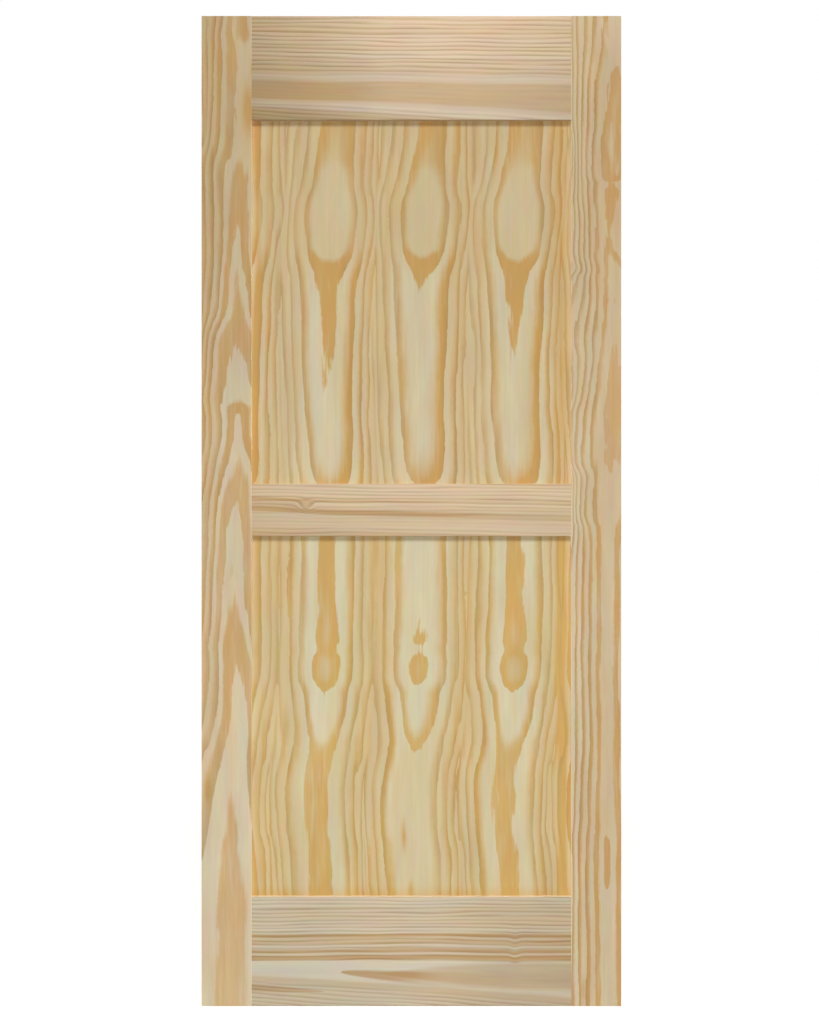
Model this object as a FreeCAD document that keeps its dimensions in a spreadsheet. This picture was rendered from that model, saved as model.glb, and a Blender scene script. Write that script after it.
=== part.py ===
"""Two-panel stile-and-rail slab of a sliding barn door, in engineered clear pine.

Frame: X across the door, Y through its thickness with the front towards -Y, Z up. The origin is at the
middle of the bottom edge. Lengths are in millimetres.

Every stile and rail is a run of timber with one section: a core between two edge bands, with a veneer on
each face. A section is drawn across the run, with its own X from the low edge to the high edge and its own
Y through the thickness, and is then padded along the grain.
"""
import FreeCAD, Part
import os
import Sketcher

SIZES = {
    # Overall slab, and the faces of its stiles and rails
    "door_height": 2133.6,
    "door_width": 904.9,
    "door_thickness": 34.9,
    "stile_width": 108.0,
    "top_rail_width": 224.0,
    "mid_rail_width": 113.0,
    "mid_rail_centre": 1069.0,
    "bottom_rail_width": 235.0,
    # Build-up of a stile or rail
    "face_veneer": 1.6,
    "edge_band": 12.0,
    "panel_band": 20.0,
    "guide_band": 32.0,
    "eased_arris": 1.2,
    # Panels, and the groove that holds them
    "panel_thickness": 12.7,
    "panel_veneer": 0.6,
    "panel_side_gap": 2.0,
    "panel_top_gap": 3.0,
    "groove_depth": 12.0,
    "groove_clearance": 0.15,
    # Stub tenons of the rails, which fill the stiles' grooves
    "tenon_cheek_clearance": 0.1,
    "tenon_end_gap": 0.5,
    # Fluted dowels across each joint of a rail and a stile
    "dowel_diameter": 9.5,
    "dowel_length": 101.6,
    "dowel_bevel": 1.0,
    "dowel_edge": 22.0,
    "dowel_clearance": 0.1,
    "dowel_end_gap": 2.0,
    "flute_depth": 0.5,
    "flute_width": 1.2,
    "flute_count": 6,
    "top_dowel_count": 2,
    "mid_dowel_count": 2,
    "bottom_dowel_count": 3,
    # Groove in the bottom edge, which runs over the floor guide
    "guide_width": 9.5,
    "guide_depth": 19.0,
}

doc = FreeCAD.newDocument("barn_door")
sheet = doc.addObject("Spreadsheet::Sheet", "dims")
for row, (alias, value) in enumerate(SIZES.items(), start=1):
    sheet.set(f"A{row}", alias)
    sheet.set(f"B{row}", str(value))
    sheet.setAlias(f"B{row}", alias)
doc.recompute()

# Sizes that follow from the sheet, as expressions of its cells
SECTION_HALF = "(dims.door_thickness / 2 - dims.face_veneer)"
FACE_HALF = "(dims.door_thickness / 2)"
GROOVE_HALF = "(dims.panel_thickness / 2 + dims.groove_clearance)"
TENON_HALF = f"({GROOVE_HALF} - dims.tenon_cheek_clearance)"
TENON_LENGTH = "(dims.groove_depth - dims.tenon_end_gap)"
GUIDE_HALF = "(dims.guide_width / 2)"
OPENING_WIDTH = "(dims.door_width - 2 * dims.stile_width)"
TENONED_LENGTH = f"({OPENING_WIDTH} + 2 * {TENON_LENGTH})"
DOWEL_RADIUS = "(dims.dowel_diameter / 2)"
DOWEL_HOLE_RADIUS = f"({DOWEL_RADIUS} + dims.dowel_clearance)"
DOWEL_HOLE_DEPTH = "(dims.dowel_length / 2 + dims.dowel_end_gap)"

ROUND_Y = FreeCAD.Vector(0, 1, 0)
ROUND_Z = FreeCAD.Vector(0, 0, 1)
UPRIGHT = FreeCAD.Rotation()
TURNED = FreeCAD.Rotation(ROUND_Z, 180)
LYING = FreeCAD.Rotation(ROUND_Y, -90)

nodes = []


def size(expression):
    """Number that an expression of the sheet's cells has now."""
    return float(sheet.evalExpression(expression))


def origin_feature(body, role):
    """A body's own origin plane or axis."""
    return next(feature for feature in body.Origin.OriginFeatures if feature.Role == role)


def new_body(label, turn=UPRIGHT, x="0", z="0"):
    """Empty sub-part at its place in the door."""
    body = doc.addObject("PartDesign::Body", label)
    body.Label = label
    body.AllowCompound = True
    body.Placement = FreeCAD.Placement(FreeCAD.Vector(), turn)
    body.setExpression("Placement.Base.x", x)
    body.setExpression("Placement.Base.z", z)
    nodes.append(body)
    return body


def new_sketch(body, name, plane="XY_Plane", offset="0"):
    """Sketch on one of the body's origin planes, or parallel to it."""
    sketch = body.newObject("Sketcher::SketchObject", f"{body.Label}_{name}")
    sketch.AttachmentSupport = [(origin_feature(body, plane), "")]
    sketch.MapMode = "FlatFace"
    sketch.setExpression("AttachmentOffset.Base.z", offset)
    return sketch


def tie_point(sketch, geometry, point, x, y):
    """Holds a point of the sketch at two distances from its origin."""
    for kind, expression in (("DistanceX", x), ("DistanceY", y)):
        distance = Sketcher.Constraint(kind, -1, 1, geometry, point, size(expression))
        index = sketch.addConstraint(distance)
        sketch.setExpression(f"Constraints[{index}]", expression)


def draw_outline(sketch, corners):
    """Closed outline of straight edges through corners, each an (x, y) pair of expressions."""
    points = [FreeCAD.Vector(size(x), size(y), 0) for x, y in corners]
    edges = []
    for start, end in zip(points, points[1:] + points[:1]):
        edges.append(sketch.addGeometry(Part.LineSegment(start, end), False))
    for edge, following in zip(edges, edges[1:] + edges[:1]):
        sketch.addConstraint(Sketcher.Constraint("Coincident", edge, 2, following, 1))
    for edge, (x, y) in zip(edges, corners):
        tie_point(sketch, edge, 1, x, y)


def draw_circles(sketch, centres, radius):
    """Circles of one radius about centres, each an (x, y) pair of expressions."""
    normal = FreeCAD.Vector(0, 0, 1)
    for x, y in centres:
        centre = FreeCAD.Vector(size(x), size(y), 0)
        circle = sketch.addGeometry(Part.Circle(centre, normal, size(radius)), False)
        tie_point(sketch, circle, 3, x, y)
        index = sketch.addConstraint(Sketcher.Constraint("Radius", circle, size(radius)))
        sketch.setExpression(f"Constraints[{index}]", radius)


def pad(body, name, corners, length, centred):
    """Outline across the run, padded along it."""
    sketch = new_sketch(body, f"{name}_section")
    draw_outline(sketch, corners)
    feature = body.newObject("PartDesign::Pad", f"{body.Label}_{name}")
    feature.Profile = sketch
    feature.SideType = "Symmetric" if centred else "One side"
    feature.setExpression("Length", length)
    doc.recompute()
    return feature


def cut_through(body, name, sketch):
    """Cuts a sketch right through the body, both ways."""
    feature = body.newObject("PartDesign::Pocket", f"{body.Label}_{name}")
    feature.Profile = sketch
    feature.SideType = "Symmetric"
    feature.Type = "ThroughAll"
    return settle_cut(feature, feature.BaseFeature)


def drill(body, name, sketch, depth):
    """Cuts a sketch to a depth, against the direction that its plane faces."""
    feature = body.newObject("PartDesign::Pocket", f"{body.Label}_{name}")
    feature.Profile = sketch
    feature.setExpression("Length", depth)
    return settle_cut(feature, feature.BaseFeature)


def settle_cut(feature, base):
    """Recomputes a cut and makes sure that it took something away from its base."""
    doc.recompute()
    if not feature.Shape.Volume < base.Shape.Volume:
        raise RuntimeError(f"{feature.Label} cuts nothing from {base.Label}")
    return feature


def rectangle(low, high, half):
    """Plain section from the low edge to the high edge."""
    return [(low, f"-{half}"), (high, f"-{half}"), (high, half), (low, half)]


def grooved(closed, opened, floor, half, groove_half):
    """Section with a groove down the middle of its opened edge."""
    return [
        (closed, f"-{half}"),
        (opened, f"-{half}"),
        (opened, f"-{groove_half}"),
        (floor, f"-{groove_half}"),
        (floor, groove_half),
        (opened, groove_half),
        (opened, half),
        (closed, half),
    ]


def eased_face(width, side):
    """Section of a face veneer, with both long arrises taken off; side is -1 in front and 1 behind."""
    inner = f"{side} * {SECTION_HALF}"
    outer = f"{side} * {FACE_HALF}"
    shoulder = f"{side} * ({FACE_HALF} - dims.eased_arris)"
    return [
        ("0", inner),
        (width, inner),
        (width, shoulder),
        (f"{width} - dims.eased_arris", outer),
        ("dims.eased_arris", outer),
        ("0", shoulder),
    ]


class Rail:
    """Where a rail lies, how its two edges are banded, and where its dowels go."""

    def __init__(self, name, low, width, low_band, high_band, dowel_count):
        self.name = name
        self.low = low
        self.width = width
        self.core_low = low_band
        self.core_high = f"({width} - {high_band})"
        first = f"({self.core_low} + dims.dowel_edge)"
        last = f"({self.core_high} - dims.dowel_edge)"
        self.dowel_count = dowel_count
        self.dowel_first = first
        self.dowel_spread = f"({last} - {first})"

    def dowel_places(self):
        """Heights of the dowels above the rail's low edge."""
        count = int(size(self.dowel_count))
        steps = f"({self.dowel_count} - 1)"
        return [f"({self.dowel_first} + {self.dowel_spread} * {place} / {steps})" for place in range(count)]


TOP_RAIL = Rail(
    "top_rail",
    "(dims.door_height - dims.top_rail_width)",
    "dims.top_rail_width",
    "dims.panel_band",
    "dims.edge_band",
    "dims.top_dowel_count",
)
MID_RAIL = Rail(
    "mid_rail",
    "(dims.mid_rail_centre - dims.mid_rail_width / 2)",
    "dims.mid_rail_width",
    "dims.panel_band",
    "dims.panel_band",
    "dims.mid_dowel_count",
)
BOTTOM_RAIL = Rail(
    "bottom_rail",
    "0",
    "dims.bottom_rail_width",
    "dims.guide_band",
    "dims.panel_band",
    "dims.bottom_dowel_count",
)
RAILS = (TOP_RAIL, MID_RAIL, BOTTOM_RAIL)


def stile_dowel_centres():
    """Centres of all dowel holes on a stile's inner edge."""
    return [("0", f"({rail.low} + {place})") for rail in RAILS for place in rail.dowel_places()]


def plough_stile_end(body):
    """Carries the floor guide's groove across the foot of a stile piece."""
    sketch = new_sketch(body, "guide_outline", "YZ_Plane")
    corners = [
        (f"-{GUIDE_HALF}", "0"),
        (GUIDE_HALF, "0"),
        (GUIDE_HALF, "dims.guide_depth"),
        (f"-{GUIDE_HALF}", "dims.guide_depth"),
    ]
    draw_outline(sketch, corners)
    cut_through(body, "guide_groove", sketch)


def make_stile(name, turn, x, front_side):
    """Core, two edge bands and two face veneers of one stile."""
    width = "dims.stile_width"
    core_high = "(dims.stile_width - dims.panel_band)"

    core = new_body(f"{name}_core", turn, x)
    pad(core, "run", rectangle("dims.edge_band", core_high, SECTION_HALF), "dims.door_height", False)
    holes = new_sketch(core, "dowel_centres", "YZ_Plane", core_high)
    draw_circles(holes, stile_dowel_centres(), DOWEL_HOLE_RADIUS)
    drill(core, "dowel_holes", holes, f"{DOWEL_HOLE_DEPTH} - dims.panel_band")
    plough_stile_end(core)

    inner = new_body(f"{name}_inner_band", turn, x)
    groove_floor = "(dims.stile_width - dims.groove_depth)"
    section = grooved(core_high, width, groove_floor, SECTION_HALF, GROOVE_HALF)
    pad(inner, "run", section, "dims.door_height", False)
    holes = new_sketch(inner, "dowel_centres", "YZ_Plane")
    draw_circles(holes, stile_dowel_centres(), DOWEL_HOLE_RADIUS)
    cut_through(inner, "dowel_holes", holes)
    plough_stile_end(inner)

    outer = new_body(f"{name}_outer_band", turn, x)
    pad(outer, "run", rectangle("0", "dims.edge_band", SECTION_HALF), "dims.door_height", False)
    plough_stile_end(outer)

    for face, side in (("front", front_side), ("back", -front_side)):
        veneer = new_body(f"{name}_{face}_veneer", turn, x)
        pad(veneer, "run", eased_face(width, side), "dims.door_height", False)


def pad_rail_piece(rail, piece, section, tenon_section):
    """Piece of a rail between the stiles, with its share of the stub tenon at both ends."""
    body = new_body(f"{rail.name}_{piece}", LYING, z=rail.low)
    pad(body, "run", section, OPENING_WIDTH, True)
    pad(body, "tenons", tenon_section, TENONED_LENGTH, True)
    return body


def make_rail_core(rail):
    """Core of a rail, bored at both ends for the dowels."""
    section = rectangle(rail.core_low, rail.core_high, SECTION_HALF)
    tenon_section = rectangle(rail.core_low, rail.core_high, TENON_HALF)
    core = pad_rail_piece(rail, "core", section, tenon_section)
    holes = new_sketch(core, "dowel_centres", "XY_Plane", f"{TENONED_LENGTH} / 2")
    draw_circles(holes, [(place, "0") for place in rail.dowel_places()], DOWEL_HOLE_RADIUS)
    first_end = drill(core, "dowel_holes", holes, f"{TENON_LENGTH} + {DOWEL_HOLE_DEPTH}")
    both_ends = core.newObject("PartDesign::Mirrored", f"{core.Label}_both_ends")
    both_ends.Originals = [first_end]
    both_ends.MirrorPlane = (origin_feature(core, "XY_Plane"), [""])
    core.Tip = both_ends
    settle_cut(both_ends, first_end)


def make_panel_band(rail, piece, closed, opened, floor):
    """Edge band of a rail, with the groove that holds a panel."""
    section = grooved(closed, opened, floor, SECTION_HALF, GROOVE_HALF)
    pad_rail_piece(rail, piece, section, rectangle(closed, floor, TENON_HALF))


def make_lower_panel_band(rail):
    """Grooved band on a rail's lower edge."""
    make_panel_band(rail, "lower_band", rail.core_low, "0", "dims.groove_depth")


def make_upper_panel_band(rail):
    """Grooved band on a rail's upper edge."""
    make_panel_band(rail, "upper_band", rail.core_high, rail.width, f"({rail.width} - dims.groove_depth)")


def make_rail_faces(rail):
    """Front and back veneers of a rail, which stop at the stiles."""
    for face, side in (("front", -1), ("back", 1)):
        veneer = new_body(f"{rail.name}_{face}_veneer", LYING, z=rail.low)
        pad(veneer, "run", eased_face(rail.width, side), OPENING_WIDTH, True)


def make_top_rail():
    """Top rail: a panel below it, and a plain band along the door's top edge."""
    make_rail_core(TOP_RAIL)
    make_lower_panel_band(TOP_RAIL)
    section = rectangle(TOP_RAIL.core_high, TOP_RAIL.width, SECTION_HALF)
    tenon_section = rectangle(TOP_RAIL.core_high, TOP_RAIL.width, TENON_HALF)
    pad_rail_piece(TOP_RAIL, "upper_band", section, tenon_section)
    make_rail_faces(TOP_RAIL)


def make_mid_rail():
    """Mid rail: a panel above it and a panel below it."""
    make_rail_core(MID_RAIL)
    make_lower_panel_band(MID_RAIL)
    make_upper_panel_band(MID_RAIL)
    make_rail_faces(MID_RAIL)


def make_bottom_rail():
    """Bottom rail: a panel above it, and the floor guide's groove in its deep lower band."""
    make_rail_core(BOTTOM_RAIL)
    section = grooved(BOTTOM_RAIL.core_low, "0", "dims.guide_depth", SECTION_HALF, GUIDE_HALF)
    tenon_section = grooved(BOTTOM_RAIL.core_low, "0", "dims.guide_depth", TENON_HALF, GUIDE_HALF)
    pad_rail_piece(BOTTOM_RAIL, "lower_band", section, tenon_section)
    make_upper_panel_band(BOTTOM_RAIL)
    make_rail_faces(BOTTOM_RAIL)


def make_panel(name, rail_below, rail_above):
    """Veneered panel that floats in the grooves and stands on the one below it."""
    half_width = f"({OPENING_WIDTH} / 2 + dims.groove_depth - dims.panel_side_gap)"
    foot = f"({rail_below.low} + {rail_below.width} - dims.groove_depth)"
    head = f"({rail_above.low} + dims.groove_depth - dims.panel_top_gap)"
    height = f"{head} - {foot}"
    face = "(dims.panel_thickness / 2)"
    core_face = f"({face} - dims.panel_veneer)"
    layers = {
        "core": (f"-{core_face}", core_face),
        "front_veneer": (f"-{face}", f"-{core_face}"),
        "back_veneer": (core_face, face),
    }
    for layer, (near, far) in layers.items():
        body = new_body(f"{name}_{layer}", z=foot)
        left = f"-{half_width}"
        corners = [(left, near), (half_width, near), (half_width, far), (left, far)]
        pad(body, "run", corners, height, False)


def make_dowels(rail):
    """Fluted dowels at both ends of a rail, all alike."""
    joint = f"-{OPENING_WIDTH} / 2"
    body = new_body(f"{rail.name}_dowels", x=joint, z=f"{rail.low} + {rail.dowel_first}")
    tip = "(dims.dowel_length / 2)"
    bevel_foot = f"({tip} - dims.dowel_bevel)"
    tip_radius = f"({DOWEL_RADIUS} - dims.dowel_bevel)"

    half_section = new_sketch(body, "half_section")
    corners = [
        (f"-{tip}", "0"),
        (tip, "0"),
        (tip, tip_radius),
        (bevel_foot, DOWEL_RADIUS),
        (f"-{bevel_foot}", DOWEL_RADIUS),
        (f"-{tip}", tip_radius),
    ]
    draw_outline(half_section, corners)
    turned = body.newObject("PartDesign::Revolution", f"{body.Label}_turned")
    turned.Profile = half_section
    turned.ReferenceAxis = (half_section, ["H_Axis"])
    doc.recompute()

    flute_section = new_sketch(body, "flute_section", "YZ_Plane")
    bottom = f"({DOWEL_RADIUS} - dims.flute_depth)"
    mouth = f"({DOWEL_RADIUS} + dims.flute_depth)"
    draw_outline(flute_section, [(bottom, "0"), (mouth, "-dims.flute_width"), (mouth, "dims.flute_width")])
    flute = cut_through(body, "flute", flute_section)
    flutes = body.newObject("PartDesign::PolarPattern", f"{body.Label}_flutes")
    flutes.Originals = [flute]
    flutes.Axis = (origin_feature(body, "X_Axis"), [""])
    flutes.setExpression("Occurrences", "dims.flute_count")
    body.Tip = flutes
    settle_cut(flutes, flute)

    row = body.newObject("PartDesign::LinearPattern", f"{body.Label}_row")
    row.TransformMode = "Whole shape"
    row.Direction = (origin_feature(body, "Z_Axis"), [""])
    row.setExpression("Length", rail.dowel_spread)
    row.setExpression("Occurrences", rail.dowel_count)
    body.Tip = row
    doc.recompute()

    both_ends = body.newObject("PartDesign::LinearPattern", f"{body.Label}_both_ends")
    both_ends.TransformMode = "Whole shape"
    both_ends.Direction = (origin_feature(body, "X_Axis"), [""])
    both_ends.setExpression("Length", OPENING_WIDTH)
    both_ends.Occurrences = 2
    body.Tip = both_ends
    doc.recompute()


def check_document():
    """Stops if any object failed, or any sub-part is empty or broken."""
    doc.recompute()
    for item in doc.Objects:
        if "Invalid" in item.State or "Error" in item.State:
            raise RuntimeError(f"{item.Label} failed: {item.State}")
    for body in nodes:
        if body.Shape.isNull() or not body.Shape.isValid():
            raise RuntimeError(f"{body.Label} has no valid shape")
    for rail in RAILS:
        dowels = doc.getObject(f"{rail.name}_dowels")
        wanted = 2 * int(size(rail.dowel_count))
        if len(dowels.Shape.Solids) != wanted:
            raise RuntimeError(f"{dowels.Label} has {len(dowels.Shape.Solids)} solids, not {wanted}")


def write_parts():
    """Writes each sub-part to its own file."""
    os.makedirs("parts", exist_ok=True)
    for body in nodes:
        body.Shape.exportStep(f"parts/{body.Label}.step")


make_stile("left_stile", UPRIGHT, "-dims.door_width / 2", -1)
make_stile("right_stile", TURNED, "dims.door_width / 2", 1)
make_top_rail()
make_mid_rail()
make_bottom_rail()
make_panel("upper_panel", MID_RAIL, TOP_RAIL)
make_panel("lower_panel", BOTTOM_RAIL, MID_RAIL)
for rail in RAILS:
    make_dowels(rail)
check_document()
write_parts()
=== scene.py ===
"""A sliding barn door's slab in clear pine: the finish of its pieces, its eased faces and its studio."""

import math
from collections import namedtuple

import bpy
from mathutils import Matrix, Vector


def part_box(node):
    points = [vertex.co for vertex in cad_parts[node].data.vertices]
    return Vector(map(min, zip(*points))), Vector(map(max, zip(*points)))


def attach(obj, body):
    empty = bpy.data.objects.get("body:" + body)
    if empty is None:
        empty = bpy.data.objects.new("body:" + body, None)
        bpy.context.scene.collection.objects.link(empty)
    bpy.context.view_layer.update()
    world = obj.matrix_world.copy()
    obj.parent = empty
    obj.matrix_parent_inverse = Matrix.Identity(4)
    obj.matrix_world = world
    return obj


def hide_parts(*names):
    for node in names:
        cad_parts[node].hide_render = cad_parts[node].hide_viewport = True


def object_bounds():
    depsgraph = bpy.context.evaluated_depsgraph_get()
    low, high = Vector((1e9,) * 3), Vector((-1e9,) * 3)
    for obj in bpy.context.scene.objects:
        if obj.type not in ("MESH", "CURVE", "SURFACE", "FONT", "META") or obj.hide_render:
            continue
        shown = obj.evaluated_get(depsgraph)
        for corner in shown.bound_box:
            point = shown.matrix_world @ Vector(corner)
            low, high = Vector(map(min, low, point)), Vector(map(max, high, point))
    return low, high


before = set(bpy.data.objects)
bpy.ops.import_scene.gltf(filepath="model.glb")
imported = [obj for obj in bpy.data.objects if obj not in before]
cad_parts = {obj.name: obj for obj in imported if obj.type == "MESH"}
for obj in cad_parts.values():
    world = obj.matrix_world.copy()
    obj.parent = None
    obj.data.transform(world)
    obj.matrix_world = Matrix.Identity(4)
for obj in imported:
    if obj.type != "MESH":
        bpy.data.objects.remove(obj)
CAD_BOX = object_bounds()

bl_info = {
    "name": "Pine barn door",
    "version": (1, 0, 0),
    "blender": (4, 5, 0),
    "location": "View3D > Sidebar > Barn door",
    "description": "Finishes a stile-and-rail barn door slab in clear pine",
    "category": "Object",
}

MM = 0.001
BODY = "root"
FACINGS = {"front": 1, "back": -1}
STILES = ("left_stile", "right_stile")
RAILS = ("top_rail", "mid_rail", "bottom_rail")
PANELS = ("upper_panel", "lower_panel")
# How shade, rosy wood and warm wood change the red, green and blue that pine gives back.
LINE_SHADE = (1.0, 1.0, 1.2)
ROSY_SHIFT = (0.024, -0.049, 0.03)
WARM_SHIFT = (0.07, 0.026, -0.06)
# Noise keeps within about a third of its middle, so it is made this much stronger.
NOISE_GAIN = 3.0
# Raw wood has little gloss and a shallow relief.
GLOSS = 0.25
BUMP_STRENGTH = 0.5
PINE_RELIEF = 0.06 * MM
BOARD_RELIEF = 0.1 * MM
# The share of a ring at which its dark wood lies, and the tone of the wood inside ring 0.
LATE_WOOD = 0.8
HEART_TONE = 0.1
# Painted shade, warmed by bounce light, in the recess above the bottom rail: how much darker it makes the
# bottom of the lower panel, and how far up the panel that fades out, in millimetres.
FOOT_SHADE_TONE = 0.28
FOOT_SHADE_FADE = 26
# How far a stave's rings are off the next one's, in millimetres.
STAVE_SHIFT = 7.0
SMOOTH_ANGLE = math.radians(30)
# The floor as the door sees it, and the glow that makes it white to the camera.
FLOOR_GREY = (0.45, 0.45, 0.45, 1.0)
FLOOR_GLOW = 0.2
WHITE = (1.0, 1.0, 1.0, 1.0)
LOW_LAMP = math.radians(6)
SENSOR_WIDTH = 36.0


# Figure of a sheet of pine: growth rings, counted from a heart line along the middle of each leaf out to
# the valleys between the leaves. A profile is one number, or a list of (place, value) points. Places are
# millimetres below the sheet's upper end, and for level they are millimetres across the door.
# axis, pitch: where the first heart line stands across the door, and the width of a leaf, in millimetres.
# drift: how far the heart line strays sideways. wander: how much the whole figure strays.
# heart, valley: the ring at the heart line and in the valleys. plan: how the rings crowd to the valleys.
# left, right: how strong the dark wood of ring 0, 1, 2 and so on is, left and right of the heart line.
# early, late: tones of a ring's pale and dark wood. start, full: shares of a ring at which its dark wood
# starts and is full. All four hold by the heart, and those with valley_ before the name in the valleys.
# line: how dark a ring's edge is. light: how light the wood is; on the upper panel and the left stile it is
# also painted light falloff, darker towards the top.
# ragged, gnarl: how rough the rings' edges and the hearts are.
# marks: flecks and streaks, which are pale where the tone is below zero. The long strips down the side edges
# of the panels are painted shade, warmed by bounce light, in the recess beside the stiles.
# flare: rings added within reach of the heart line, which is a share of half a leaf.
# skew: rings added towards the right of a heart line. level: rings added across the door.
# dusk: how much sooner the dark wood starts on the right of odd rings.
# blush: how much of the heart's own colour shows inside ring 0.
# The last eight fields may be left out, and right is then as left.
FIGURE_FIELDS = (
    "axis pitch drift heart valley plan left early valley_early late valley_late start full valley_start "
    "valley_full line light ragged gnarl marks right wander flare reach skew level dusk blush"
)
Figure = namedtuple("Figure", FIGURE_FIELDS, defaults=(None, 1.0, 0.0, 1.0, 0.0, 0.0, 0.0, 0.0))
BY_DEPTH = "drift heart valley plan early valley_early late start full light ragged gnarl flare reach skew"
RING_FIELDS = "axis pitch heart valley plan flare reach skew ragged gnarl wander"
Mark = namedtuple("Mark", "across below width height tone")
ENDLESS = 20000

UPPER_FIGURE = Figure(
    axis=-175.4,
    pitch=202.6,
    drift=[(0, 8.6), (198, 0), (367, -6.5), (571, -6.5), (690, -2), (784, 2)],
    heart=[
        (0, 0.58), (40, 0.48), (75, 0.36), (120, 0.14), (198, 0.05), (230, 0.1), (262, 0.16), (285, 0.28),
        (303, 0.45), (318, 0.62), (334, 0.74), (367, 0.84), (431, 0.91), (504, 0.965), (571, 1.0),
        (647, 1.05), (711, 1.18), (755, 1.4), (784, 1.7),
    ],
    valley=[
        (0, 4.1), (108, 3.8), (151, 3.5), (198, 3.2), (248, 3.4), (306, 3.8), (367, 4.2), (474, 4.45),
        (604, 4.6), (784, 4.8),
    ],
    plan=[
        (0, 2.0), (80, 1.8), (130, 1.75), (198, 2.1), (270, 2.05), (334, 2.1), (400, 2.15), (604, 2.0),
        (784, 2.25),
    ],
    skew=[
        (0, -0.55), (50, -0.5), (80, -0.3), (120, -0.15), (180, 0), (235, -0.1), (290, -0.2), (330, -0.1),
        (400, 0), (784, 0),
    ],
    level=[(-345, 0), (-175, 0), (-74, 0.05), (27, 0.17), (128, 0.06), (230, 0.035), (345, 0.03)],
    left=(1.0, 0.8, 0.7, 0.8, 0.9, 0.9),
    right=(1.0, 1.25, 1.1, 0.9, 0.9, 0.9),
    early=[(0, 0.42), (240, 0.38), (300, 0.28), (360, 0.2), (784, 0.16)],
    valley_early=[(0, 0.5), (300, 0.46), (784, 0.38)],
    late=[(0, 0.98), (90, 0.95), (150, 0.8), (230, 0.8), (285, 1.0), (320, 1.08), (450, 1.08), (784, 0.98)],
    valley_late=0.8,
    start=[
        (0, 0.2), (70, 0.12), (105, 0.28), (135, 0.42), (165, 0.5), (250, 0.5), (290, 0.42), (318, 0.3),
        (784, 0.3),
    ],
    full=[
        (0, 0.8), (90, 0.82), (130, 0.86), (165, 0.9), (250, 0.9), (285, 0.7), (318, 0.6), (450, 0.7),
        (560, 0.82), (784, 0.84),
    ],
    valley_start=0.28,
    valley_full=0.86,
    dusk=0.16,
    line=0.15,
    # Painted light falloff: this sheet is painted darker towards its top.
    light=[(0, 1.0), (300, 1.0), (784, 1.04)],
    ragged=0.035,
    gnarl=0.05,
    blush=1.0,
    # The two long strips at the side edges are painted shade, warmed by bounce light, beside the stiles.
    marks=(Mark(-335, 390, 8, ENDLESS, 0.35), Mark(322, 390, 14, ENDLESS, 0.3)),
)

LOWER_FIGURE = Figure(
    axis=-186.2,
    pitch=202.6,
    drift=[(0, 4.3), (137, 2.2), (288, 0), (375, -2), (461, -8.6), (590, -21.5), (676, -15), (777, -8.6)],
    heart=[
        (0, 0.86), (137, 0.84), (180, 0.79), (205, 0.74), (224, 0.71), (243, 0.77), (262, 0.62), (285, 0.5),
        (300, 0.53), (318, 0.7), (332, 0.89), (345, 1.02), (380, 1.1), (418, 1.3), (440, 1.5), (460, 1.7),
        (490, 1.83), (569, 1.87), (777, 1.88),
    ],
    valley=[(0, 4.1), (288, 3.9), (332, 4.1), (364, 4.3), (418, 4.7), (461, 4.9), (590, 5.3), (777, 5.4)],
    plan=[
        (0, 1.95), (240, 1.85), (288, 1.62), (350, 1.6), (418, 1.62), (460, 2.0), (510, 2.35), (560, 2.5),
        (777, 2.55),
    ],
    level=[(-345, 0), (-186, 0), (-85, 0.1), (16, 0.25), (118, 0.12), (219, 0.02), (345, 0)],
    left=(1.0, 0.85, 1.15, 0.75, 1.0, 0.9),
    right=(1.0, 0.95, 0.75, 1.0, 0.8, 0.9),
    early=[(0, 0.1), (380, 0.12), (500, 0.22), (777, 0.26)],
    valley_early=0.5,
    late=1.02,
    valley_late=0.9,
    start=[(0, 0.38), (325, 0.38), (360, 0.54), (430, 0.54), (475, 0.45), (520, 0.38), (777, 0.38)],
    full=0.84,
    valley_start=0.3,
    valley_full=0.86,
    dusk=0.18,
    line=0.15,
    light=[(0, 1.0), (300, 1.0), (777, 0.98)],
    ragged=0.04,
    gnarl=0.05,
    blush=1.0,
    marks=(
        # These two long strips at the side edges are partly streaks in the wood and partly painted shade,
        # warmed by bounce light, beside the stiles.
        Mark(-338, 390, 8, ENDLESS, 0.15),
        Mark(326, 390, 9, ENDLESS, 0.85),
        Mark(-16, 651, 5, 30, 0.75),
        Mark(-3, 763, 6, 20, 0.6),
        Mark(-186, 208, 9, 34, -0.4),
        Mark(219, 208, 9, 34, -0.4),
    ),
)

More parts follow.
